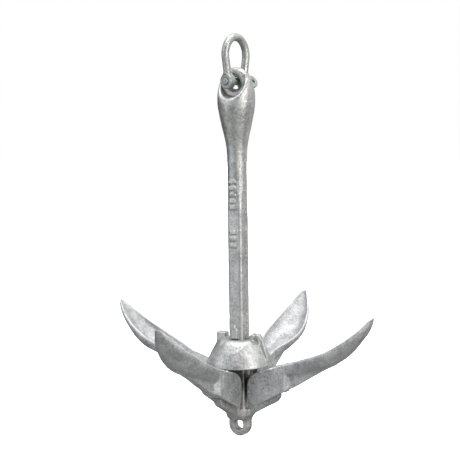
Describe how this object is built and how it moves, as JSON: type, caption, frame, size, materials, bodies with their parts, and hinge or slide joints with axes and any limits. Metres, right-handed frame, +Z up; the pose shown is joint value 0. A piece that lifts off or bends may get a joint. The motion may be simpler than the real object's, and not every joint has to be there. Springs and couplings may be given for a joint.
{
  "type": "folding grapnel anchor",
  "caption": "Galvanised folding grapnel anchor: hinged cupped flukes on a cast crown, a sliding locking collar, a shank with an egg-shaped eye, and a bow shackle.",
  "frame": {"origin": "on the shank axis at the lowest point of the trip eye", "axes": "+Z up the shank to the shackle; fluke_1 lies along +X, fluke_2 along +Y; the trip eye's hole and the head's hole run along Y"},
  "size_m": [0.2536, 0.2536, 0.3484],
  "materials": {
    "shank": "hot-dip galvanised casting, satin",
    "crown": "hot-dip galvanised casting, satin",
    "collar": "hot-dip galvanised casting, satin",
    "fluke": "hot-dip galvanised casting, satin",
    "pins": "galvanised steel, ground flush",
    "shackle": "hot-dip galvanised forged steel",
    "shackle_pin": "zinc-plated steel"
  },
  "bodies": {
    "frame": {"shank": "shank", "crown": "crown", "crown_rivet": "pins"},
    "collar_body": {"collar": "collar"},
    "fluke_body_1": {"fluke_1": "fluke", "fluke_pin_1": "pins"},
    "fluke_body_2": {"fluke_2": "fluke", "fluke_pin_2": "pins"},
    "fluke_body_3": {"fluke_3": "fluke", "fluke_pin_3": "pins"},
    "fluke_body_4": {"fluke_4": "fluke", "fluke_pin_4": "pins"},
    "shackle_body": {"shackle_bow": "shackle"},
    "screw_pin_body": {"shackle_pin": "shackle_pin"}
  },
  "joints": [
    {"name": "collar_slide", "type": "slide", "parent": "frame", "child": "collar_body", "axis": [0, 0, 1], "range_m": [0, 0.118]},
    {"name": "fluke_1_fold", "type": "hinge", "parent": "frame", "child": "fluke_body_1", "pos_m": [0.027, 0, 0.044], "axis": [0, -1, 0], "range_deg": [0, 61]},
    {"name": "fluke_2_fold", "type": "hinge", "parent": "frame", "child": "fluke_body_2", "pos_m": [0, 0.027, 0.044], "axis": [1, 0, 0], "range_deg": [0, 61]},
    {"name": "fluke_3_fold", "type": "hinge", "parent": "frame", "child": "fluke_body_3", "pos_m": [-0.027, 0, 0.044], "axis": [0, 1, 0], "range_deg": [0, 61]},
    {"name": "fluke_4_fold", "type": "hinge", "parent": "frame", "child": "fluke_body_4", "pos_m": [0, -0.027, 0.044], "axis": [-1, 0, 0], "range_deg": [0, 61]},
    {"name": "shackle_swing", "type": "hinge", "parent": "frame", "child": "shackle_body", "pos_m": [0, 0, 0.3076], "axis": [0.2756, 0.9613, 0], "range_deg": [-36, 36]},
    {"name": "screw_pin_turn", "type": "hinge", "parent": "shackle_body", "child": "screw_pin_body", "pos_m": [0, 0, 0.3076], "axis": [0.2756, 0.9613, 0], "continuous": true}
  ],
  "couplings": [
    {"joint": "fluke_1_fold", "follows": "collar_slide", "rad_per_m": 9.02},
    {"joint": "fluke_2_fold", "follows": "collar_slide", "rad_per_m": 9.02},
    {"joint": "fluke_3_fold", "follows": "collar_slide", "rad_per_m": 9.02},
    {"joint": "fluke_4_fold", "follows": "collar_slide", "rad_per_m": 9.02}
  ]
}
